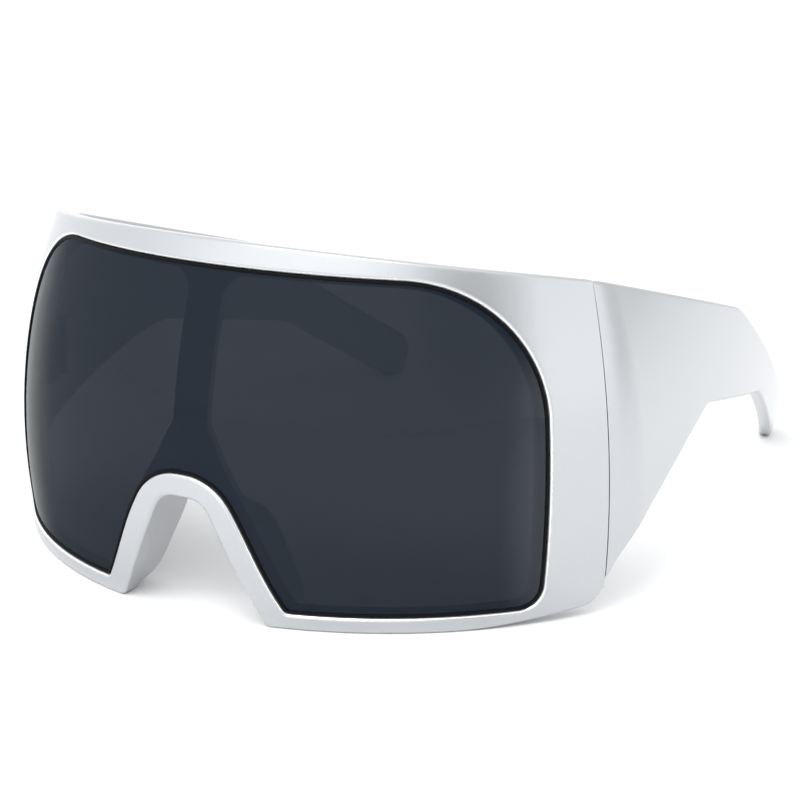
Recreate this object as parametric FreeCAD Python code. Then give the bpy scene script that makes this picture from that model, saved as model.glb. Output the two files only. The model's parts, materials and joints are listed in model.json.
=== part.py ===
import FreeCAD
import Part
import math
import os

Vector = FreeCAD.Vector
UP = Vector(0, 0, 1)

# Shield sunglasses, standing open on the bottom rim and both ear tips.
# X runs to the wearer's left, Y to the back and Z up from the table, in millimetres.

# The front's outer face: a bulge turned about an upright axis behind the middle, with straight cheeks
front_radius = 82.0
bulge_radius = 126.0
bulge_height = 22.0
cheek_angle = 56.0
cheek_length = 9.0
rim_depth = 4.4
front_edge_round = 0.8

# The front's outline: the top falls to the splits, and the bottom has a nose arch and rises to the splits
top_height = 75.6
top_drop = 8.1
cheek_lift = 2.3
cheek_corner_radius = 5.0
bottom_break_share = 0.54
bottom_break_radius = 60.0
foot_reach = 17.3
foot_radius = 2.0
arch_shoulder = 5.0
arch_height = 25.2
arch_radius = 5.5

# The rebate that the lens lies in, under the bar at the brow and between the cheeks
brow_bar = 4.9
cheek_width_high = 11.8
cheek_width_low = 13.8
lens_top_drop = 3.1
lens_bottom = 3.4
lens_brow_radius = 28.0
lens_cheek_radius = 5.0
lens_foot = 22.9
lens_foot_radius = 1.5
lens_arch_shoulder = 7.0
lens_arch_height = 31.2
lens_arch_radius = 8.0
lens_recess = 0.8
lens_thickness = 2.0
lens_bed_gap = 0.05
lens_edge_gap = 0.1
ledge_width = 1.6

# The post behind the lens, between the two eye windows
post_width = 8.0
post_head_radius = 5.0
post_foot_radius = 3.0

# The nose flanges
flange_wall = 2.6
flange_flare = 1.0
flange_back = 16.0
flange_top = 27.0
flange_neck_back = 7.0
flange_shoulder = 20.0
flange_floor = 1.5
flange_corner_radius = 5.0
flange_shoulder_radius = 8.0

# The side arms: a bend behind the split, then a long gentle curve inward
split_gap = 0.25
temple_wall = 3.2
bend_top_radius = 9.5
bend_angle = 36.0
arm_radius = 510.0
arm_slope = 16.4
arm_bend_radius = 25.0
arm_corner_back = 93.4
arm_corner_height = 31.5
arm_corner_radius = 4.0
tip_bend_back = 139.0
tip_bend_height = 21.5
tip_bend_radius = 20.0
tip_slope = 32.5
tip_width = 12.0
tip_end_radius = 5.0
temple_foot = 7.0
temple_edge_round = 1.0

# The hinges
hinge_height = 36.0
knuckle_radius = 1.9
knuckle_length = 2.5
knuckle_count = 5
knuckle_gap = 0.12
knuckle_room = 0.3
leaf_thickness = 1.1
leaf_length = 6.5
leaf_margin = 0.8
pad_rise = 0.372
pad_root = 1.5
pad_split_room = 0.6
relief_angle = 46.0
relief_room = 0.2
pin_radius = 0.75
pin_clearance = 0.04
pin_head_radius = 1.5
pin_head_height = 0.9
pin_tail = 0.4
leaf_screw_radius = 0.7
leaf_screw_clearance = 0.05
leaf_screw_length = 3.0
leaf_screw_head_radius = 1.25
leaf_screw_head_height = 0.6
leaf_screw_place = 4.2
leaf_screw_spread = 7.2

# How far cuts run past what they cut, and how far back from the front's foremost line the lens may reach
overrun = 5.0
lens_back_share = 0.6

# How nearly a face must look one way, or a place must lie on a face, to count as doing so
look_share = 0.9
face_tolerance = 0.05


front_axis = Vector(0, front_radius, 0)


def direction(degrees):
    """The level direction that stands at an angle from the wearer's left towards the back."""
    return Vector(math.cos(math.radians(degrees)), math.sin(math.radians(degrees)), 0)


def bulge_fall(height):
    """How far the outer face falls back from its foremost line at a height."""
    return bulge_radius - math.sqrt(bulge_radius ** 2 - (height - bulge_height) ** 2)


# Where the wearer's left arm meets the front, on the foremost line of the outer face
cheek_along = direction(cheek_angle)
cheek_outward = direction(cheek_angle - 90)
split_place = front_axis + cheek_outward * front_radius + cheek_along * cheek_length
split_reach = front_radius * math.atan2(split_place.x, front_radius - split_place.y)
split_top = top_height - top_drop
bend_radius = bend_top_radius + bulge_fall(split_top)
bend_axis = split_place - cheek_outward * bend_radius
gap_angle = math.degrees(split_gap / bend_radius)
hinge_length = knuckle_count * knuckle_length - knuckle_gap
hinge_fall = max(bulge_fall(hinge_height + end * hinge_length / 2) for end in (-1, 1))
hinge_depth = rim_depth + hinge_fall + pad_rise + knuckle_room + knuckle_radius

# How far round the front the lens reaches, and which way its flat sides run
lens_top = top_height - brow_bar
lens_reach_high = split_reach - cheek_width_high
lens_reach_low = split_reach - cheek_width_low
lens_angle = math.degrees((lens_reach_high + lens_reach_low) / 2 / front_radius)
lens_outward = direction(lens_angle - 90)
lens_sideways = direction(lens_angle)


def split_back(height):
    """How far back the outer face meets the split at a height."""
    return (split_place - cheek_outward * bulge_fall(height)).y


def on_outer_face(reach, height):
    """The place on the outer face at a reach round the front from its middle, and a height."""
    turn = reach / front_radius
    out = front_radius - bulge_fall(height)
    return front_axis + Vector(out * math.sin(turn), -out * math.cos(turn), height)


def corner_points(before, here, after):
    """The start, middle and end of the rounding of one corner, or the corner itself where it is sharp."""
    radius = here[2]
    if radius == 0:
        return [here[:2]]
    back = math.atan2(before[1] - here[1], before[0] - here[0])
    ahead = math.atan2(after[1] - here[1], after[0] - here[0])
    opening = (ahead - back) % (2 * math.pi)
    turn = math.pi - opening
    half = opening / 2
    reach = radius / abs(math.sin(half))
    middle = back + half
    if opening > math.pi:
        middle += math.pi
    centre = (here[0] + reach * math.cos(middle), here[1] + reach * math.sin(middle))
    first = middle + math.pi + turn / 2
    angles = [first - turn * step / 2 for step in range(3)]
    return [(centre[0] + radius * math.cos(angle), centre[1] + radius * math.sin(angle)) for angle in angles]


def rounded_loop(corners):
    """The stretches of a loop of (across, up, radius) corners: two points for a line, three for an arc."""
    count = len(corners)
    turns = [
        corner_points(corners[index - 1], corners[index], corners[(index + 1) % count])
        for index in range(count)
    ]
    stretches = []
    for index, points in enumerate(turns):
        if len(points) > 1:
            stretches.append(points)
        stretches.append([points[-1], turns[(index + 1) % count][0]])
    return stretches


def mirrored(half):
    """A loop from its corners on one side, first to last, and their reflections."""
    return half + [(-across, up, radius) for across, up, radius in reversed(half)]


def inset(corners, distance):
    """The corners of a loop drawn a distance inside another that runs clockwise."""
    count = len(corners)
    moved = []
    for index, (across, up, radius) in enumerate(corners):
        before = corners[index - 1]
        after = corners[(index + 1) % count]
        first = Vector(across - before[0], up - before[1], 0).normalize()
        second = Vector(after[0] - across, after[1] - up, 0).normalize()
        inward_first = Vector(first.y, -first.x, 0)
        inward_second = Vector(second.y, -second.x, 0)
        bisector = inward_first + inward_second
        shift = bisector * (2 * distance / bisector.dot(bisector))
        outer_turn = first.x * second.y - first.y * second.x < 0
        grown = radius - distance if outer_turn else radius + distance
        moved.append((across + shift.x, up + shift.y, max(grown, 0)))
    return moved


def outline_face(corners, place):
    """The flat face inside a closed loop of corners, whose points are placed in space one by one."""
    edges = []
    for points in rounded_loop(corners):
        places = [place(*point) for point in points]
        edges.append((Part.Arc if len(places) > 2 else Part.LineSegment)(*places).toShape())
    return Part.Face(Part.Wire(edges))


def side_solid(corners, low_x, high_x):
    """The solid of an outline seen from the side, from one X to another."""
    face = outline_face(corners, lambda back, up: Vector(low_x, back, up))
    return face.extrude(Vector(high_x - low_x, 0, 0))


def face_solid(corners, back):
    """The solid of an outline seen from the front, from before the front to a place behind it."""
    face = outline_face(corners, lambda across, up: Vector(across, -overrun, up))
    return face.extrude(Vector(0, back + overrun, 0))


def bulge_section(shallow, deep, top):
    """The upright section of a wall between two depths under the outer face, at the middle of the front."""
    low, high = -overrun, top + overrun

    def place(depth, height):
        reach = math.sqrt((bulge_radius - depth) ** 2 - (height - bulge_height) ** 2)
        return Vector(0, bulge_radius - reach, height)

    outer = [place(shallow, height) for height in (low, bulge_height, high)]
    inner = [place(deep, height) for height in (low, bulge_height, high)]
    return Part.Face(Part.Wire([
        Part.Arc(*outer).toShape(),
        Part.LineSegment(outer[2], inner[2]).toShape(),
        Part.Arc(*reversed(inner)).toShape(),
        Part.LineSegment(inner[0], outer[0]).toShape(),
    ]))


def front_layer(shallow, deep):
    """The round band of the front between two depths under its outer face, a little past the lens."""
    reach = math.degrees((lens_reach_high + overrun) / front_radius)
    section = bulge_section(shallow, deep, top_height)
    section.rotate(front_axis, UP, -reach)
    return section.revolve(front_axis, UP, 2 * reach)


def cheek_wall(shallow, deep):
    """The straight wall between the front's round band and the wearer's left split, between two depths."""
    section = bulge_section(shallow, deep, top_height)
    section.rotate(front_axis, UP, cheek_angle)
    return section.extrude(cheek_along * cheek_length)


def front_blank():
    """The wall of the front before its outline is cut: a round band with a straight cheek at each end."""
    section = bulge_section(0, rim_depth, top_height)
    section.rotate(front_axis, UP, -cheek_angle)
    band = section.revolve(front_axis, UP, 2 * cheek_angle)
    cheek = cheek_wall(0, rim_depth)
    return band.fuse(cheek).fuse(flip(cheek))


def depth_of(place):
    """How deep a place lies under the front's outer face."""
    turn = math.atan2(abs(place.x), front_radius - place.y)
    out = math.hypot(place.x, place.y - front_radius)
    out *= math.cos(max(0, turn - math.radians(cheek_angle)))
    return bulge_radius - math.hypot(bulge_radius - front_radius + out, place.z - bulge_height)


def front_outline():
    """The front seen from the front, run past its top and both sides."""
    past = front_radius + overrun
    return mirrored([
        (past, top_height + 2 * overrun, 0),
        (past, 0, 0),
        (foot_reach, 0, foot_radius),
        (arch_shoulder, arch_height, arch_radius),
    ])


def front_profile():
    """The front seen from the side, run past it before and behind."""
    top_front = bulge_fall(top_height)
    falling = top_drop / (split_back(split_top) - top_front)
    bottom_break = split_place.y * bottom_break_share
    rising = cheek_lift / (split_back(cheek_lift) - bottom_break)
    behind = split_place.y + bend_radius + overrun
    return [
        (-overrun, top_height + (top_front + overrun) * falling, 0),
        (behind, top_height - (behind - top_front) * falling, 0),
        (behind, (behind - bottom_break) * rising, 0),
        (bottom_break, 0, bottom_break_radius),
        (-overrun, 0, 0),
    ]


def lens_outline(distance):
    """The lens rebate seen from the front, run past its top and both sides and drawn in by a distance."""
    past = front_radius + overrun
    return inset(mirrored([
        (past, top_height + overrun, 0),
        (past, lens_bottom, 0),
        (lens_foot, lens_bottom, lens_foot_radius),
        (lens_arch_shoulder, lens_arch_height, lens_arch_radius),
    ]), distance)


def window_outline():
    """One eye window seen from the front, inside the ledge and beside the post."""
    top, side, foot, arch = lens_outline(ledge_width)[:4]
    rise = (arch[1] - foot[1]) / (foot[0] - arch[0])
    post = post_width / 2
    return [(post, top[1], 0), top, side, foot, (post, foot[1] + (foot[0] - post) * rise, post_foot_radius)]


def lens_profile(distance):
    """The lens rebate seen from the side, with its top drawn in by a distance."""
    top_front = bulge_fall(lens_top)
    falling = lens_top_drop / (on_outer_face(lens_reach_high, lens_top - lens_top_drop).y - top_front)
    level = lens_top - distance * math.hypot(1, falling)
    return [
        (-2 * overrun, level + (top_front + 2 * overrun) * falling, 0),
        (front_radius, level - (front_radius - top_front) * falling, 0),
        (front_radius, -overrun, 0),
        (-2 * overrun, -overrun, 0),
    ]


def beside_lens(distance):
    """All that lies beyond the wearer's left side of the lens, drawn in by a distance."""
    ends = []
    for reach, height in ((lens_reach_low, lens_bottom), (lens_reach_high, lens_top - lens_top_drop)):
        ends.append(((on_outer_face(reach, height) - front_axis).dot(lens_sideways) - distance, height))
    (low, floor), (high, top) = ends
    lean = (high - low) / (top - floor)
    under, over = -2 * overrun, top_height + 2 * overrun
    loop = [
        (low + (under - floor) * lean, under, 0),
        (low + (over - floor) * lean, over, 0),
        (front_radius, over, 0),
        (front_radius, under, 0),
    ]
    face = outline_face(loop, lambda aside, up: front_axis + lens_sideways * aside + UP * up)
    return face.extrude(lens_outward * (2 * front_radius))


def edges_between(shape, first, second):
    """The edges where a flat face that looks one way meets a flat face that looks another way."""
    found = []
    for edge in shape.Edges:
        faces = shape.ancestorsOfType(edge, Part.Face)
        looks = [face.normalAt(0, 0) for face in faces if face.Surface.TypeId == "Part::GeomPlane"]
        if all(any(look.dot(way) > look_share for look in looks) for way in (first, second)):
            found.append(edge)
    return found


def lens_block(outline, distance):
    """The block that an outline of the lens fills through the whole front, with its corners rounded."""
    block = face_solid(outline, front_radius * lens_back_share)
    block = block.common(side_solid(lens_profile(distance), -2 * front_radius, 2 * front_radius))
    beside = beside_lens(distance)
    block = block.cut(beside).cut(flip(beside))
    for up, radius in ((UP, lens_brow_radius), (-UP, lens_cheek_radius)):
        for side in (lens_sideways, Vector(-lens_sideways.x, lens_sideways.y, 0)):
            edges = edges_between(block, up, side)
            if edges:
                block = block.makeFillet(radius - distance, edges)
    return block


def nose_flange():
    """The wearer's left nose flange, down from the arch and flaring towards the back."""
    slope = (foot_reach - arch_shoulder) / arch_height
    wall = flange_wall * math.hypot(1, slope)
    high = foot_reach - slope * flange_top
    low = foot_reach
    loop = [(low, 0, 0), (high, flange_top, 0), (high + wall, flange_top, 0), (low + wall, 0, 0)]
    reach = (flange_back + overrun) / flange_back
    plate = outline_face(loop, lambda across, up: Vector(across, 0, up))
    plate = plate.extrude(Vector(flange_flare, flange_back, 0) * reach)
    profile = side_solid([
        (-overrun, flange_top + overrun, 0),
        (flange_neck_back, flange_top + overrun, 0),
        (flange_neck_back, flange_top, 0),
        (flange_back, flange_shoulder, flange_shoulder_radius),
        (flange_back, flange_floor, flange_corner_radius),
        (-overrun, flange_floor, 0),
    ], 0, 2 * foot_reach + 2 * flange_flare)
    return plate.common(profile).common(front_layer(rim_depth / 2, flange_back + rim_depth))


def flip(shape):
    """The same shape on the wearer's right."""
    return shape.mirror(Vector(0, 0, 0), Vector(1, 0, 0))


def points_along(edge):
    """Five places along an edge."""
    start, end = edge.ParameterRange
    return [edge.valueAt(start + (end - start) * step / 4) for step in range(5)]


def on_split(place):
    """Whether a place lies at either plane where an arm meets the front."""
    left = Vector(abs(place.x), place.y, 0)
    return abs((left - split_place).dot(cheek_along)) < 2 * split_gap


def cheek_corner_edges(shape):
    """The front's two edges where its bottom meets the splits."""
    found = []
    for edge in shape.Edges:
        places = points_along(edge)
        if all(on_split(place) and place.z < cheek_corner_radius for place in places):
            found.append(edge)
    return found


def outer_rim_edges(shape):
    """The front's edges on its outer face, apart from those at the splits."""
    found = []
    for edge in shape.Edges:
        places = points_along(edge)
        if all(abs(depth_of(place)) < face_tolerance for place in places):
            if not all(on_split(place) for place in places):
                found.append(edge)
    return found


def arm_rim_edges(shape):
    """An arm's long edges, where its outline meets its outer and inner faces."""
    found = []
    for edge in shape.Edges:
        kinds = {face.Surface.TypeId for face in shape.ancestorsOfType(edge, Part.Face)}
        outline = kinds & {"Part::GeomPlane", "Part::GeomCylinder"}
        beside_front = all(on_split(place) for place in points_along(edge))
        if outline and "Part::GeomToroid" in kinds and not beside_front:
            found.append(edge)
    return found


def at_hinge(shape):
    """Moves a piece from the hinge's axes, X outward, Y along the arm and Z up the pin, to its place."""
    pin = split_place - cheek_outward * hinge_depth + UP * hinge_height
    moved = shape.copy()
    moved.Placement = FreeCAD.Placement(pin, FreeCAD.Rotation(UP, cheek_angle - 90)).multiply(moved.Placement)
    return moved


def box(low, high):
    """A block between two corners, given in either order along each axis."""
    start = Vector(*(min(pair) for pair in zip(low, high)))
    end = Vector(*(max(pair) for pair in zip(low, high)))
    return Part.makeBox(end.x - start.x, end.y - start.y, end.z - start.z, start)


def upright(radius, low, high):
    """A round bar along the pin's axis."""
    return Part.makeCylinder(radius, high - low, Vector(0, 0, low))


leaf_seat = knuckle_radius + knuckle_room
leaf_face = leaf_seat - leaf_thickness


def knuckle_span(index):
    """The ends of one knuckle along the pin."""
    middle = (index - (knuckle_count - 1) / 2) * knuckle_length
    half = (knuckle_length - knuckle_gap) / 2
    return middle - half, middle + half


def leaf_screw_places(side):
    return [(side * leaf_screw_place, end * leaf_screw_spread / 2) for end in (-1, 1)]


def outward_bar(radius, along, up, low, high):
    """A round bar that runs outward from the leaf, at a place along it."""
    return Part.makeCylinder(radius, high - low, Vector(low, along, up), Vector(1, 0, 0))


def hinge_leaf(side, first):
    """A leaf with every other knuckle: side -1 lies on the front and 1 on the arm."""
    half = hinge_length / 2
    leaf = box((leaf_face, 0, -half), (leaf_seat, side * leaf_length, half))
    for index in range(first, knuckle_count, 2):
        leaf = leaf.fuse(upright(knuckle_radius, *knuckle_span(index)))
    for index in range(1 - first, knuckle_count, 2):
        low, high = knuckle_span(index)
        leaf = leaf.cut(upright(leaf_seat + knuckle_room, low - knuckle_gap, high + knuckle_gap))
    leaf = leaf.cut(upright(pin_radius + pin_clearance, -hinge_length, hinge_length))
    for along, up in leaf_screw_places(side):
        leaf = leaf.cut(outward_bar(leaf_screw_radius + leaf_screw_clearance, along, up, 0, hinge_depth))
    return leaf.removeSplitter()


def leaf_screws(side):
    """The two screws that hold one leaf."""
    screws = []
    for along, up in leaf_screw_places(side):
        shank = outward_bar(leaf_screw_radius, along, up, leaf_face, leaf_face + leaf_screw_length)
        head = outward_bar(leaf_screw_head_radius, along, up, leaf_face - leaf_screw_head_height, leaf_face)
        screws.append(shank.fuse(head).removeSplitter())
    return screws


def hinge_screw():
    """The screw that an arm turns on, with its head on the top knuckle."""
    half = hinge_length / 2
    shank = upright(pin_radius, -half - pin_tail, half)
    return shank.fuse(upright(pin_head_radius, half, half + pin_head_height)).removeSplitter()


def with_hinge_seat(shape, side, skin):
    """Adds the pad that a leaf lies on, inside a skin of the wall, its screw holes and the fold's relief."""
    half = hinge_length / 2 + leaf_margin
    pad = box(
        (leaf_seat, side * pad_split_room, -half),
        (leaf_seat + pad_rise + hinge_fall + pad_root, side * (leaf_length + leaf_margin), half),
    )
    shape = shape.fuse(at_hinge(pad).cut(skin))
    depth = leaf_face + leaf_screw_length + leaf_screw_clearance
    for along, up in leaf_screw_places(side):
        hole = outward_bar(leaf_screw_radius + leaf_screw_clearance, along, up, 0, depth)
        shape = shape.cut(at_hinge(hole))
    reach = rim_depth + bulge_fall(top_height)
    spread = (reach + relief_room) * math.tan(math.radians(relief_angle))
    wedge = Part.makePolygon([
        Vector(relief_room, 0, -hinge_height),
        Vector(-reach, spread, -hinge_height),
        Vector(-reach, -spread, -hinge_height),
        Vector(relief_room, 0, -hinge_height),
    ])
    return shape.cut(at_hinge(Part.Face(wedge).extrude(Vector(0, 0, top_height + overrun))))


def front_frame():
    """The front: rim, lens rebate, eye windows, post, nose flanges and hinge pads."""
    frame = front_blank().common(side_solid(front_profile(), -2 * front_radius, 2 * front_radius))
    frame = frame.common(face_solid(front_outline(), 2 * front_radius))
    frame = frame.makeFillet(cheek_corner_radius, cheek_corner_edges(frame))
    pocket = lens_recess + lens_thickness + lens_bed_gap
    frame = frame.cut(front_layer(-overrun, pocket).common(lens_block(lens_outline(0), 0)))
    frame = frame.makeFillet(front_edge_round, outer_rim_edges(frame))
    window = lens_block(window_outline(), ledge_width)
    window = window.makeFillet(post_head_radius, edges_between(window, UP, Vector(-1, 0, 0)))
    frame = frame.cut(window).cut(flip(window))
    flange = nose_flange()
    frame = frame.fuse(flange).fuse(flip(flange))
    skin = cheek_wall(-overrun, rim_depth / 2)
    frame = with_hinge_seat(frame, -1, skin)
    return flip(with_hinge_seat(flip(frame), -1, skin))


def shield_lens():
    """The lens, bent like the front's outer face."""
    block = lens_block(lens_outline(lens_edge_gap), lens_edge_gap)
    return front_layer(lens_recess, lens_recess + lens_thickness).common(block)


def arm_outline():
    """An arm seen from the side: the broad root, the level arm and the ear tip, which ends on the table."""
    falling = math.tan(math.radians(arm_slope))
    steep = math.radians(tip_slope)
    along = Vector(math.cos(steep), -math.sin(steep), 0)
    across = Vector(math.sin(steep), math.cos(steep), 0)
    lower_bend = Vector(tip_bend_back, tip_bend_height, 0)
    run = (tip_bend_height - tip_end_radius * (1 - across.y)) / -along.y
    toe = lower_bend + along * (run + tip_end_radius)
    heel = toe + across * tip_width
    top_back = split_back(split_top)
    rise = heel.y - split_top + heel.x * math.tan(steep) - top_back * falling
    bend_back = rise / (math.tan(steep) - falling)
    diagonal = (arm_corner_height - temple_foot) / (arm_corner_back - split_place.y)
    return [
        (0, split_top + top_back * falling, 0),
        (bend_back, split_top - (bend_back - top_back) * falling, arm_bend_radius),
        (heel.x, heel.y, tip_end_radius),
        (toe.x, toe.y, tip_end_radius),
        (tip_bend_back, tip_bend_height, tip_bend_radius),
        (arm_corner_back, arm_corner_height, arm_corner_radius),
        (0, arm_corner_height - arm_corner_back * diagonal, 0),
    ]


def arm_section(shallow, deep):
    """The upright section of the wearer's left arm beside the split, between two depths."""
    section = bulge_section(shallow, deep, split_top)
    section.rotate(front_axis, UP, cheek_angle)
    section.translate(cheek_along * cheek_length)
    section.rotate(bend_axis, UP, gap_angle)
    return section


def left_temple():
    """The wearer's left arm: the bulged wall of the front carried round the bend and along the head."""
    section = arm_section(0, temple_wall)
    bend = section.revolve(bend_axis, UP, bend_angle - gap_angle)
    section.rotate(bend_axis, UP, bend_angle - gap_angle)
    heading = cheek_angle + bend_angle - 90
    arm_axis = bend_axis - direction(heading) * (arm_radius - bend_radius)
    outline = arm_outline()
    reach = max(back for back, up, radius in outline) - arm_axis.y
    arm = section.revolve(arm_axis, UP, math.degrees(math.asin(reach / arm_radius)) - heading)
    profile = side_solid(outline, 0, front_radius + bend_radius)
    temple = bend.fuse(arm).common(profile)
    temple = temple.makeFillet(temple_edge_round, arm_rim_edges(temple))
    skin = arm_section(-overrun, temple_wall / 2).revolve(bend_axis, UP, bend_angle)
    return with_hinge_seat(temple, 1, skin)


def both_sides(name, shape):
    """A piece of the wearer's left side and its twin on the right."""
    return {"left_" + name: shape, "right_" + name: flip(shape)}


def sub_parts():
    """Every piece by name, in the place where it belongs."""
    front_screws = [at_hinge(screw) for screw in leaf_screws(-1)]
    arm_screws = Part.makeCompound([at_hinge(screw) for screw in leaf_screws(1)])
    pieces = {
        "front_frame": front_frame(),
        "shield_lens": shield_lens(),
        "front_leaf_screws": Part.makeCompound(front_screws + [flip(screw) for screw in front_screws]),
    }
    pieces.update(both_sides("temple", left_temple()))
    pieces.update(both_sides("front_hinge_leaf", at_hinge(hinge_leaf(-1, 0))))
    pieces.update(both_sides("temple_hinge_leaf", at_hinge(hinge_leaf(1, 1))))
    pieces.update(both_sides("hinge_screw", at_hinge(hinge_screw())))
    pieces.update(both_sides("temple_leaf_screws", arm_screws))
    return pieces


def main():
    """Writes each piece with the origin under the middle of the whole, on the table."""
    os.makedirs("parts", exist_ok=True)
    pieces = sub_parts()
    bounds = Part.makeCompound(list(pieces.values())).optimalBoundingBox()
    origin = Vector(bounds.Center.x, bounds.Center.y, bounds.ZMin)
    for name, shape in pieces.items():
        shape.translate(-origin)
        shape.exportStep(os.path.join("parts", name + ".step"))
        print(name, shape.isValid(), len(shape.Solids), round(shape.Volume, 2))
    print("size", bounds.XLength, bounds.YLength, bounds.ZLength, "shift", origin)
    pin = at_hinge(Part.Vertex(0, 0, 0)).Point - origin
    print("left pin", pin)


main()
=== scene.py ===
import json
import math

import bmesh
import bpy
from mathutils import Matrix, Vector
from mathutils.bvhtree import BVHTree


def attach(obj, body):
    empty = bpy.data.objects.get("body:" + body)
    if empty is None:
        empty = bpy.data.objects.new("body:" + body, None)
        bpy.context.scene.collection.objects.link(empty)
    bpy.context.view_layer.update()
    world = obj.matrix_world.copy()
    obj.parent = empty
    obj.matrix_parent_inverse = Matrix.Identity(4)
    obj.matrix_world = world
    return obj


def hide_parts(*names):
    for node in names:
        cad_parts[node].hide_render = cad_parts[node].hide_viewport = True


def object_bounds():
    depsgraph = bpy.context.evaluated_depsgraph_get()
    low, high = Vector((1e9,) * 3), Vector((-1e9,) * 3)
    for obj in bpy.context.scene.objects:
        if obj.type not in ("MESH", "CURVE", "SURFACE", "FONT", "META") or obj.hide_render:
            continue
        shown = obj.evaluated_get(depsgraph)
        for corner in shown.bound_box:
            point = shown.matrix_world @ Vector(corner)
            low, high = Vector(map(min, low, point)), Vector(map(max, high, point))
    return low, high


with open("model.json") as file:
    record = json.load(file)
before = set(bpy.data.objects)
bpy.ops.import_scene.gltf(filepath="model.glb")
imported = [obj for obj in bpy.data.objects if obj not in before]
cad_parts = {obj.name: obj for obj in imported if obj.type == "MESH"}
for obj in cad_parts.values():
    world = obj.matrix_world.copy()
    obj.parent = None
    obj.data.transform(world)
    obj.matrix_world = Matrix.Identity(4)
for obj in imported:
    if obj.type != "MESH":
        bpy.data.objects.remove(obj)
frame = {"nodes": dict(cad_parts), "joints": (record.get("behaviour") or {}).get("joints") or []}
cad_box = [list(corner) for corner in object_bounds()]

# Sizes are in metres and angles in degrees, unless a heading says otherwise

# Meshes: how near points are joined, how short an edge is dropped, and how sharp an edge stays an edge
merge_distance = 0.000002
shortest_edge = 0.00001
crease_angle = 32.0

# The hinges: the turn of the cheeks that carry them, half their height, and the leaves' faces and screws
cheek_angle = 56.0
hinge_half_length = 0.00619
leaf_face = 0.0011
leaf_screw_along = 0.0042
leaf_screw_spread = 0.0072

# The screws, the sides of their round forms, and the length of the slot's cutter in head radii
leaf_screw_sizes = {
    "Head Radius": 0.00125, "Head Height": 0.0006, "Shank Radius": 0.0007, "Shank Length": 0.003,
    "Slot Width": 0.00035, "Slot Depth": 0.00028,
}
hinge_screw_sizes = {
    "Head Radius": 0.0015, "Head Height": 0.0009, "Shank Radius": 0.00075, "Shank Length": 0.01278,
    "Slot Width": 0.0004, "Slot Depth": 0.0004,
}
head_sides = 40
shank_sides = 20
slot_length_share = 3.0

# The front's outer face: its radius on the level, and the radius and the middle height of its bulge
front_radius = 0.082
bulge_radius = 0.126
bulge_height = 0.022

# The lens's edge over the nose: corners as (across, up) and rounding in the solid, then its rounder top
arch_foot = Vector((0.0229, 0.0034))
arch_shoulder = Vector((0.007, 0.0312))
arch_radius = 0.008
round_arch_height = 0.0299
round_arch_radius = 0.012
arch_plateau = 0.0015
arch_fade = 0.0062

# The lens's feet by the nose: how far they move inward, and the heights, widths and depths of the fade
foot_shift = 0.0016
foot_heights = (0.023, 0.0045)
foot_plateau = 0.0014
foot_reach = 0.0054
foot_depths = (0.0046, 0.012)

# The painted highlight on the rim's rounded lip by the lens: the depths where it starts, is full and ends,
# its reach and tone
lip_highlight_start = 0.00003
lip_highlight_full = 0.00024
lip_highlight_end = 0.00077
lip_highlight_reach = 0.0013
lip_highlight_tone = (0.93, 0.94, 0.95, 1)

# The lower edge of an arm's root: its ends as (back, up) in the solid, and how it is drawn up between
root_foot = Vector((-0.0456, 0.0070))
root_corner = Vector((0.0032, 0.0315))
root_lift = 0.0052
root_run_in = 0.0035
root_run_out = 3.0
root_fade = 0.012

# The joint of front and arm: the arm's face brought nearer, and the front's rounded edge made sharp
joint_reach = 0.00035
joint_closing = 0.00004
joint_round = 0.0008
joint_slack = 0.00006

# How far outward from a pin the front's outer face lies at the middle height of its bulge
joint_outward = 0.0086

# The bead round the lens, and how squarely one of the lens's faces looks out to count as its outer face
bead_sizes = {"Radius": 0.00035, "Spacing": 0.0009}
bead_sides = 10
bead_inset = 0.0003
bead_lift = 0.0001
outer_face_cosine = 0.7

# The silver lacquer: its tones, the scales of its flakes, clouds and ripple, and what each of them adds
silver_tones = ((0.475, 0.485, 0.505, 1), (0.575, 0.585, 0.605, 1))
flake_scale = 5200.0
cloud_scale = 55.0
ripple_scale = 420.0
flake_share = 0.7
silver_roughness = 0.24
flake_roughness = 0.08
cloud_roughness = 0.05
flake_ripple = 0.2
ripple_height = 0.00004
ripple_strength = 0.12

# The dark lens: its tones and its cover, with their change per metre of height, its smears and its sheen
lens_tones = ((0.014, 0.020, 0.029, 1), (0.012, 0.018, 0.027, 1))
lens_tone_rise = 12.0
lens_cover = 0.868
lens_cover_rise = 0.2
smear_scale = 38.0
smear_sheen = 0.04
lens_sheen = 0.12

# The stronger sheen at the lens's two sides: from where to where across it grows, and to how much
right_sheen_span = (-0.040, -0.057)
right_sheen = 0.3
left_sheen_span = (0.0575, 0.0640)
left_sheen = 0.7

# The hinge steel: its tones, and the scale, stretch, roughness and relief of its brush marks
steel_tones = ((0.5, 0.5, 0.51, 1), (0.74, 0.74, 0.75, 1))
mark_scale = 900.0
mark_stretch = (1.0, 1.0, 9.0)
steel_roughness = 0.22
mark_roughness = 0.2
mark_height = 0.00002
mark_strength = 0.3

# The matt black of the dark bead round the lens: its tones, and the scale, roughness and relief of its
# grain
bead_tones = ((0.002, 0.002, 0.003, 1), (0.005, 0.005, 0.006, 1))
grain_scale = 2600.0
bead_roughness = 0.5
grain_roughness = 0.2
grain_height = 0.00003
grain_strength = 0.2

# The floor, and the lamp in front of the glasses and above them, with its power in watts
floor_reach = 6.0
lamp_place = (0.05, -0.6, 1.1)
lamp_target = (0.0, -0.02, 0.03)
lamp_size = (0.7, 0.4)
lamp_power = 4.0

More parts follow.
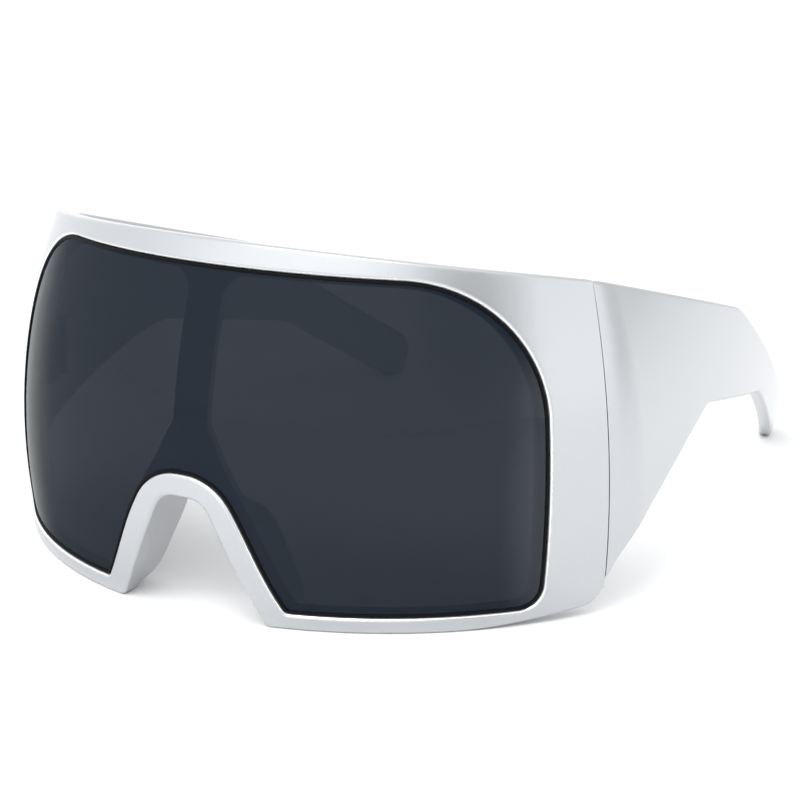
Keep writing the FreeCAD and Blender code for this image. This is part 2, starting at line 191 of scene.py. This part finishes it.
# The room: its tone, its light all round, and its sides as a way, a width as a cosine and a change of light
room_tone = (0.985, 0.995, 1.0, 1)
room_light = 1.22
front_side = ((-0.05, -0.91, 0.41), 0.6, 0.5)
left_side = ((0.98, -0.08, 0.2), 0.86, 0.42)
back_side = ((0.56, 0.82, 0.08), 0.45, 0.35)
corner_side = ((0.79, -0.49, 0.38), 0.93, 0.95)

# The photo's camera, with its focal length in pixels of the picture and its sensor in millimetres
view_turn = 30.3
view_rise = 16.56
view_place = (0.26911, -0.46419, 0.18183)
view_start = 0.01
focal_pixels = 2449.5
image_pixels = 800
sensor_width = 36.0


class Value:
    """A socket whose sums and products add Math nodes."""

    def __init__(self, nodes, socket):
        self.nodes = nodes
        self.socket = socket

    def _math(self, operation, first, second):
        return self.nodes.node("ShaderNodeMath", {"operation": operation}, {0: first, 1: second})

    def __add__(self, other):
        return self._math("ADD", self, other)

    __radd__ = __add__

    def __sub__(self, other):
        return self._math("SUBTRACT", self, other)

    def __rsub__(self, other):
        return self._math("SUBTRACT", other, self)

    def __mul__(self, other):
        return self._math("MULTIPLY", self, other)

    __rmul__ = __mul__


class Nodes:
    """A node tree, with one way to add any node to it."""

    def __init__(self, tree):
        self.tree = tree

    def node(self, kind, settings=None, sockets=None, output=0):
        node = self.tree.nodes.new(kind)
        for name, value in (settings or {}).items():
            setattr(node, name, value)
        self.join(node, sockets or {})
        return Value(self, node.outputs[output]) if node.outputs else None

    def join(self, node, sockets):
        for name, given in sockets.items():
            for value in given if isinstance(given, list) else [given]:
                if isinstance(value, Value):
                    self.tree.links.new(value.socket, node.inputs[name])
                else:
                    node.inputs[name].default_value = value

    def ramp(self, value, start, end):
        return self.node("ShaderNodeMapRange", {"interpolation_type": "SMOOTHSTEP"}, {
            "Value": value, "From Min": start, "From Max": end,
        })


class Shapes(Nodes):
    """A geometry tree that works on points or edges, with named sizes and one material at its end."""

    def __init__(self, name, sizes):
        group = bpy.data.node_groups.new(name, "GeometryNodeTree")
        group.interface.new_socket("Geometry", in_out="INPUT", socket_type="NodeSocketGeometry")
        for size in sizes:
            group.interface.new_socket(size, in_out="INPUT", socket_type="NodeSocketFloat")
        group.interface.new_socket("Geometry", in_out="OUTPUT", socket_type="NodeSocketGeometry")
        super().__init__(group)

    def given(self, name):
        return self.node("NodeGroupInput", output=name)

    def end(self, geometry, material):
        solid = self.node("GeometryNodeRealizeInstances", {}, {"Geometry": geometry})
        finished = self.node("GeometryNodeSetMaterial", {}, {"Geometry": solid, "Material": material})
        self.node("NodeGroupOutput", {}, {0: finished})
        return self.tree


class Finish(Nodes):
    """A material on a piece's own coordinates."""

    def __init__(self, name):
        self.material = bpy.data.materials.new(name)
        self.material.use_nodes = True
        super().__init__(self.material.node_tree)
        self.shader = self.tree.nodes["Principled BSDF"]
        self.place = self.node("ShaderNodeTexCoord", output="Object")

    def shade(self, **sockets):
        self.join(self.shader, {name.replace("_", " "): value for name, value in sockets.items()})

    def coordinate(self, axis):
        return self.node("ShaderNodeSeparateXYZ", {}, {0: self.place}, axis)

    def noise(self, scale, detail=2.0, place=None):
        return self.node("ShaderNodeTexNoise", {}, {
            "Vector": place or self.place, "Scale": scale, "Detail": detail,
        }, "Fac")

    def stretched(self, scale):
        return self.node("ShaderNodeMapping", {}, {"Vector": self.place, "Scale": scale})

    def tint(self, share, dark, light):
        return self.node("ShaderNodeMix", {"data_type": "RGBA"}, {"Factor": share, 6: dark, 7: light}, 2)

    def bump(self, height, distance, strength):
        return self.node("ShaderNodeBump", {}, {
            "Height": height, "Distance": distance, "Strength": strength,
        })


def silver_lacquer():
    """Satin silver lacquer: fine bright flakes and a faint ripple under a clear coat, with a painted lip
    highlight.
    """
    finish = Finish("silver_lacquer")
    flakes = finish.noise(flake_scale, detail=3.0)
    cloud = finish.noise(cloud_scale)
    ripple = finish.noise(ripple_scale, detail=1.0)
    # The rim's lip is tinted near white: a painted highlight, not the lacquer's own tone
    lip_highlight = finish.node("ShaderNodeAttribute", {"attribute_name": "lip_highlight"}, {}, "Fac")
    lacquer = finish.tint(flakes * flake_share + cloud * (1 - flake_share), *silver_tones)
    finish.shade(
        Base_Color=finish.tint(lip_highlight, lacquer, lip_highlight_tone),
        Metallic=0.82,
        Roughness=flakes * flake_roughness + cloud * cloud_roughness + silver_roughness,
        Coat_Weight=0.35,
        Coat_Roughness=0.12,
        Normal=finish.bump(ripple + flakes * flake_ripple, ripple_height, ripple_strength),
    )
    return finish.material


def dark_lens():
    """Polished dark lens: a little light passes, less so at the brow, and its sides have more sheen."""
    finish = Finish("dark_lens")
    height = finish.coordinate("Z")
    across = finish.coordinate("X")
    side_sheen = (finish.ramp(across, *right_sheen_span) * right_sheen
                  + finish.ramp(across, *left_sheen_span) * left_sheen)
    smear = finish.noise(smear_scale, detail=3.0)
    finish.shade(
        Base_Color=finish.tint(height * lens_tone_rise, *lens_tones),
        Roughness=0.5,
        Specular_IOR_Level=0.0,
        Coat_Weight=smear * smear_sheen + side_sheen + lens_sheen,
        Coat_Roughness=0.015,
        Coat_IOR=1.5,
        Alpha=height * lens_cover_rise + lens_cover,
    )
    return finish.material


def hinge_steel():
    """Steel with fine brush marks along the leaves."""
    finish = Finish("hinge_steel")
    marks = finish.noise(mark_scale, detail=4.0, place=finish.stretched(mark_stretch))
    finish.shade(
        Base_Color=finish.tint(marks, *steel_tones),
        Metallic=1.0,
        Roughness=marks * mark_roughness + steel_roughness,
        Normal=finish.bump(marks, mark_height, mark_strength),
    )
    return finish.material


def dark_rubber():
    """Matt black with a faint grain, for the dark bead round the lens."""
    finish = Finish("dark_rubber")
    grain = finish.noise(grain_scale)
    finish.shade(
        Base_Color=finish.tint(grain, *bead_tones),
        Roughness=grain * grain_roughness + bead_roughness,
        Specular_IOR_Level=0.1,
        Normal=finish.bump(grain, grain_height, grain_strength),
    )
    return finish.material


def pale_floor():
    """A plain white studio floor."""
    finish = Finish("pale_floor")
    finish.shade(
        Base_Color=(0.95, 0.95, 0.95, 1),
        Roughness=0.9,
        Specular_IOR_Level=0.0,
    )
    return finish.material


def linked(name, data):
    """A new object at the origin, in the scene."""
    piece = bpy.data.objects.new(name, data)
    bpy.context.scene.collection.objects.link(piece)
    return piece


def plain_mesh(piece):
    """Leaves the piece with the mesh that its modifiers make, and no modifiers."""
    shown = piece.evaluated_get(bpy.context.evaluated_depsgraph_get())
    mesh = bpy.data.meshes.new_from_object(shown)
    piece.modifiers.clear()
    piece.data = mesh
    return piece


def merged(node):
    """An editable copy of a CAD node's mesh with its triangles joined."""
    form = bmesh.new()
    form.from_mesh(frame["nodes"][node].data)
    bmesh.ops.remove_doubles(form, verts=form.verts, dist=merge_distance)
    return form


def eased(share):
    """A share from 0 to 1 with soft ends."""
    held = min(max(share, 0.0), 1.0)
    return held * held * (3 - 2 * held)


def hinge_place(side, outward, along, up):
    """A place by a hinge: outward from its pin, back along the cheek and up, on one side of the part."""
    fold = side + "_temple_fold"
    pin = next(Vector(joint["pos_m"]) for joint in frame["joints"] if joint["name"] == fold)
    turned = Matrix.Rotation(math.radians(cheek_angle - 90), 3, "Z") @ Vector((outward, along, up))
    return pin + Vector((turned.x if side == "left" else -turned.x, turned.y, turned.z))


def hinge_ways(side):
    """A hinge's pin, the way outward from it and the way back along the cheek."""
    pin = hinge_place(side, 0, 0, 0)
    return pin, hinge_place(side, 1, 0, 0) - pin, hinge_place(side, 0, 1, 0) - pin


def bulge_fall(height):
    """How far the front's outer face falls back from its foremost line at a height."""
    return bulge_radius - math.sqrt(bulge_radius ** 2 - (height - bulge_height) ** 2)


def around_front(place):
    """The way from the front's upright axis to a place, on the level."""
    return Vector((place.x, place.y - cad_box[0][1] - front_radius, 0))


def depth_of(place):
    """How deep a place lies under the front's round outer face."""
    out = around_front(place).length
    return bulge_radius - math.hypot(bulge_radius - front_radius + out, place.z - bulge_height)


def rim_lip_highlight():
    """Tells how fully a place lies on the rounded lip of the rim, beside the lens, where a highlight is
    painted.
    """
    form = merged("shield_lens")
    lens = BVHTree.FromBMesh(form)
    form.free()

    def share(place):
        depth = depth_of(place)
        on_lip = depth < lip_highlight_end and lens.find_nearest(place)[3] < lip_highlight_reach
        return eased((depth - lip_highlight_start) / (lip_highlight_full - lip_highlight_start)) if on_lip else 0.0

    return share


def with_close_feet(place):
    """A place on the front or the lens, turned towards the middle where it lies by a foot of the lens."""
    slope = (arch_foot.x - arch_shoulder.x) / (arch_shoulder.y - arch_foot.y)
    leg = arch_foot.x - (place.z - arch_foot.y) * slope
    high, low = foot_heights
    shallow, deep = foot_depths
    share = eased((high - place.z) / (high - low))
    share *= eased((foot_reach - abs(abs(place.x) - leg)) / (foot_reach - foot_plateau))
    share *= 1 - eased((depth_of(place) - shallow) / (deep - shallow))
    way = around_front(place)
    turn = Matrix.Rotation(-math.copysign(foot_shift / front_radius * share, place.x), 3, "Z")
    return place + turn @ way - way


def arch_line(across, top, radius):
    """The height of the lens's edge over the nose, with a flat top, a round shoulder and a straight leg."""
    leg = arch_foot - arch_shoulder
    lean = math.atan2(leg.x, -leg.y)
    shoulder = arch_foot.x - (top - arch_foot.y) * math.tan(lean)
    middle = shoulder - radius * math.tan((math.pi / 2 - lean) / 2)
    if across < middle:
        return top
    if across < middle + radius * math.cos(lean):
        return top - radius + math.sqrt(radius ** 2 - (across - middle) ** 2)
    return arch_foot.y + (arch_foot.x - across) / math.tan(lean)


def with_round_arch(place):
    """A place on the front or the lens, moved along its face to where the arch's round top takes it."""
    across = abs(place.x)
    line = arch_line(across, arch_shoulder.y, arch_radius)
    change = arch_line(across, round_arch_height, round_arch_radius) - line
    share = eased((arch_fade - abs(place.z - line)) / (arch_fade - arch_plateau))
    level = place.z + change * share
    outward = around_front(place).normalized()
    return Vector((place.x, place.y, level)) + outward * (bulge_fall(place.z) - bulge_fall(level))


def with_crisp_joint(place):
    """A place on the front, moved out to a sharp corner where the edge by an arm is rounded."""
    pin, outward, backward = hinge_ways("left" if place.x > 0 else "right")
    ahead = (pin - place).dot(backward)
    if not -joint_slack < ahead < joint_round - joint_slack:
        return place
    face = joint_outward - bulge_fall(place.z)
    dip = joint_round - math.sqrt(max(joint_round ** 2 - (joint_round - ahead) ** 2, 0.0))
    short = face - (place - pin).dot(outward)
    return place + outward * short + backward * ahead if abs(short - dip) < joint_slack else place


def lens_form(place):
    """A place on the lens, moved to its round arch and its close feet."""
    return with_round_arch(with_close_feet(place))


def front_form(place):
    """A place on the front, moved as the lens is, and to its crisp joints."""
    return with_crisp_joint(lens_form(place))


def with_straight_root(side):
    """Moves an arm's places: its root's lower edge to a straight look, and its face nearer the front."""
    pin, _, backward = hinge_ways(side)

    def moved(place):
        run = place.y - root_foot.x
        share = run / (root_corner.x - root_foot.x)
        edge = root_foot.y + (root_corner.y - root_foot.y) * share
        lift = 0.0
        if 0 < share < 1:
            lift = root_lift * (1 - math.exp(-run / root_run_in)) * (1 - share ** root_run_out)
        rise = lift * (1 - eased((place.z - edge) / root_fade))
        behind = (place - pin).dot(backward)
        closing = joint_closing if 0 < behind < joint_reach else 0.0
        return place + Vector((0, 0, rise)) - backward * closing

    return moved


def smooth_piece(name, node, body, material, moved=None, lip_highlight=None):
    """A smooth copy of a CAD node with its real edges kept, marked with its painted lip highlight and moved
    where told.
    """
    form = merged(node)
    if lip_highlight:
        shares = form.verts.layers.float.new("lip_highlight")
        for vert in form.verts:
            vert[shares] = lip_highlight(vert.co)
    if moved:
        for vert in form.verts:
            vert.co = moved(vert.co)
        bmesh.ops.dissolve_degenerate(form, dist=shortest_edge, edges=form.edges)
    for face in form.faces:
        face.smooth = True
        face.material_index = 0
    for edge in form.edges:
        edge.smooth = edge.calc_face_angle(0.0) < math.radians(crease_angle)
    mesh = bpy.data.meshes.new(name)
    form.to_mesh(mesh)
    form.free()
    if "custom_normal" in mesh.attributes:
        mesh.attributes.remove(mesh.attributes["custom_normal"])
    mesh.materials.append(material)
    piece = linked(name, mesh)
    weighted = piece.modifiers.new("Even shading", "WEIGHTED_NORMAL")
    weighted.keep_sharp = True
    plain_mesh(piece)
    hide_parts(node)
    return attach(piece, body)


def grown(piece, tree, sizes):
    """Leaves the piece with the plain mesh that a geometry tree of the given sizes makes from it."""
    made = piece.modifiers.new("Shapes", "NODES")
    made.node_group = tree
    for socket in tree.interface.items_tree:
        if socket.in_out == "INPUT" and socket.name in sizes:
            made[socket.identifier] = sizes[socket.name]
    return plain_mesh(piece)


def slotted_screw_tree(material):
    """Puts a slotted screw at each point, with its head along the point's heading."""
    shapes = Shapes("slotted_screws", leaf_screw_sizes)
    head_radius = shapes.given("Head Radius")
    head_height = shapes.given("Head Height")
    shank_length = shapes.given("Shank Length")

    def raised(geometry, rise):
        offset = shapes.node("ShaderNodeCombineXYZ", {}, {"Z": rise})
        return shapes.node("GeometryNodeTransform", {}, {"Geometry": geometry, "Translation": offset})

    def bar(radius, length, rise, sides):
        made = shapes.node("GeometryNodeMeshCylinder", {}, {
            "Vertices": sides, "Radius": radius, "Depth": length,
        })
        return raised(made, rise)

    head = bar(head_radius, head_height, head_height * 0.5, head_sides)
    shank = bar(shapes.given("Shank Radius"), shank_length, shank_length * -0.5, shank_sides)
    # The cutter's middle is at the head's top, so the lower half of it cuts
    slot = shapes.node("ShaderNodeCombineXYZ", {}, {
        "X": head_radius * slot_length_share,
        "Y": shapes.given("Slot Width"),
        "Z": shapes.given("Slot Depth") * 2.0,
    })
    cutter = raised(shapes.node("GeometryNodeMeshCube", {}, {"Size": slot}), head_height)
    slotted = shapes.node("GeometryNodeMeshBoolean", {"operation": "DIFFERENCE"}, {
        "Mesh 1": head, "Mesh 2": cutter,
    })
    both = shapes.node("GeometryNodeJoinGeometry", {}, {0: [slotted, shank]})
    heading = shapes.node("GeometryNodeInputNamedAttribute", {"data_type": "FLOAT_VECTOR"}, {
        "Name": "heading",
    }, "Attribute")
    turn = shapes.node("FunctionNodeAlignRotationToVector", {"axis": "Z"}, {"Vector": heading})
    placed = shapes.node("GeometryNodeInstanceOnPoints", {}, {
        "Points": shapes.given("Geometry"), "Instance": both, "Rotation": turn,
    })
    return shapes.end(placed, material)


def screws(name, node, body, tree, sizes, seats):
    """Slotted screws in place of a CAD node, with their heads' undersides on (place, heading) seats."""
    mesh = bpy.data.meshes.new(name)
    mesh.from_pydata([place for place, heading in seats], [], [])
    headings = mesh.attributes.new("heading", "FLOAT_VECTOR", "POINT")
    for value, (place, heading) in zip(headings.data, seats):
        value.vector = heading
    piece = grown(linked(name, mesh), tree, sizes)
    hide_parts(node)
    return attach(piece, body)


def bead_tree(material):
    """Lays a round bead along a loop of edges."""
    shapes = Shapes("lens_seal", bead_sizes)
    line = shapes.node("GeometryNodeMeshToCurve", {}, {"Mesh": shapes.given("Geometry")})
    even = shapes.node("GeometryNodeResampleCurve", {"mode": "LENGTH"}, {
        "Curve": line, "Length": shapes.given("Spacing"),
    })
    section = shapes.node("GeometryNodeCurvePrimitiveCircle", {"mode": "RADIUS"}, {
        "Resolution": bead_sides, "Radius": shapes.given("Radius"),
    })
    bead = shapes.node("GeometryNodeCurveToMesh", {}, {"Curve": even, "Profile Curve": section})
    return shapes.end(shapes.node("GeometryNodeSetShadeSmooth", {}, {0: bead}), material)


def lens_seal(bead_material):
    """The dark bead between the lens and its rebate, on the rim of the lens's outer face."""
    form = merged("shield_lens")

    def faces_out(face):
        way = around_front(face.calc_center_median()).normalized()
        return face.normal.dot(way) > outer_face_cosine

    outer = {face for face in form.faces if faces_out(face)}
    rim = [edge for edge in form.edges if len(outer.intersection(edge.link_faces)) == 1]
    places = []
    numbers = {}
    for vert in dict.fromkeys(vert for edge in rim for vert in edge.verts):
        inward = -sum((face.normal for face in vert.link_faces if face not in outer), Vector()).normalized()
        outward = sum((face.normal for face in vert.link_faces if face in outer), Vector()).normalized()
        numbers[vert] = len(places)
        places.append(lens_form(vert.co) + inward * bead_inset + outward * bead_lift)
    mesh = bpy.data.meshes.new("lens_seal")
    mesh.from_pydata(places, [[numbers[vert] for vert in edge.verts] for edge in rim], [])
    form.free()
    piece = grown(linked("lens_seal", mesh), bead_tree(bead_material), bead_sizes)
    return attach(piece, "front")


def leaf_screw_seats(side, end):
    """Where a leaf's two screws sit: end -1 is on the front and 1 on the arm."""
    inward = hinge_place(side, -1, 0, 0) - hinge_place(side, 0, 0, 0)
    return [
        (hinge_place(side, leaf_face, end * leaf_screw_along, level * leaf_screw_spread / 2), inward)
        for level in (-1, 1)
    ]


def build_hinges(steel):
    """The leaves and the slotted screws on both sides."""
    tree = slotted_screw_tree(steel)
    front_seats = []
    for side in ("left", "right"):
        arm = side + "_arm"
        smooth_piece(side + "_leaf_on_front", side + "_front_hinge_leaf", "front", steel)
        smooth_piece(side + "_leaf_on_arm", side + "_temple_hinge_leaf", arm, steel)
        top = hinge_place(side, 0, 0, hinge_half_length)
        screws(side + "_pivot_screw", side + "_hinge_screw", "front", tree, hinge_screw_sizes,
               [(top, (0, 0, 1))])
        screws(side + "_arm_screws", side + "_temple_leaf_screws", arm, tree, leaf_screw_sizes,
               leaf_screw_seats(side, 1))
        front_seats += leaf_screw_seats(side, -1)
    screws("front_screws", "front_leaf_screws", "front", tree, leaf_screw_sizes, front_seats)


def build_floor():
    """The pale floor that the glasses stand on."""
    mesh = bpy.data.meshes.new("floor")
    corners = [(x * floor_reach, y * floor_reach, 0) for x, y in ((-1, -1), (1, -1), (1, 1), (-1, 1))]
    mesh.from_pydata(corners, [], [(0, 1, 2, 3)])
    mesh.materials.append(pale_floor())
    linked("floor", mesh)


def build_lamp():
    """A broad soft lamp, turned to the glasses."""
    lamp = bpy.data.lights.new("lamp_above", "AREA")
    lamp.shape = "RECTANGLE"
    lamp.size, lamp.size_y = lamp_size
    lamp.energy = lamp_power
    holder = linked("lamp_above", lamp)
    holder.location = lamp_place
    holder.rotation_euler = (Vector(lamp_target) - Vector(lamp_place)).to_track_quat("-Z", "Y").to_euler()


def toward(room, way, side, width, change):
    """What a side changes in the light from a way: nothing outside its width, and most at its middle."""
    nearness = room.node("ShaderNodeVectorMath", {"operation": "DOT_PRODUCT"}, {0: way, 1: side}, "Value")
    return room.ramp(nearness, width, 1.0) * change


def build_room():
    """A pale room, brighter in front and on the left, and dimmer behind and at the corner between those."""
    world = bpy.data.worlds.new("studio")
    world.use_nodes = True
    room = Nodes(world.node_tree)
    way = room.node("ShaderNodeTexCoord", output="Generated")
    front = toward(room, way, *front_side)
    left = toward(room, way, *left_side)
    back = toward(room, way, *back_side)
    corner = toward(room, way, *corner_side)
    strength = front + left - back - corner + room_light
    room.join(world.node_tree.nodes["Background"], {"Color": room_tone, "Strength": strength})
    bpy.context.scene.world = world
    bpy.context.scene.view_settings.view_transform = "Standard"


def build_camera():
    """The camera at the photo's place and angle."""
    camera = bpy.data.cameras.new("camera")
    camera.sensor_width = sensor_width
    camera.lens = focal_pixels * sensor_width / image_pixels
    camera.clip_start = view_start
    holder = linked("camera", camera)
    holder.location = view_place
    holder.rotation_euler = (math.radians(90 - view_rise), 0, math.radians(view_turn))
    bpy.context.scene.camera = holder


silver = silver_lacquer()
lens_tint = dark_lens()
steel = hinge_steel()
smooth_piece("front_moulding", "front_frame", "front", silver, front_form, rim_lip_highlight())
smooth_piece("lens_shield", "shield_lens", "front", lens_tint, lens_form)
lens_seal(dark_rubber())
for side in ("left", "right"):
    smooth_piece(side + "_arm_moulding", side + "_temple", side + "_arm", silver,
                 with_straight_root(side))
build_hinges(steel)
build_floor()
build_room()
build_lamp()
build_camera()
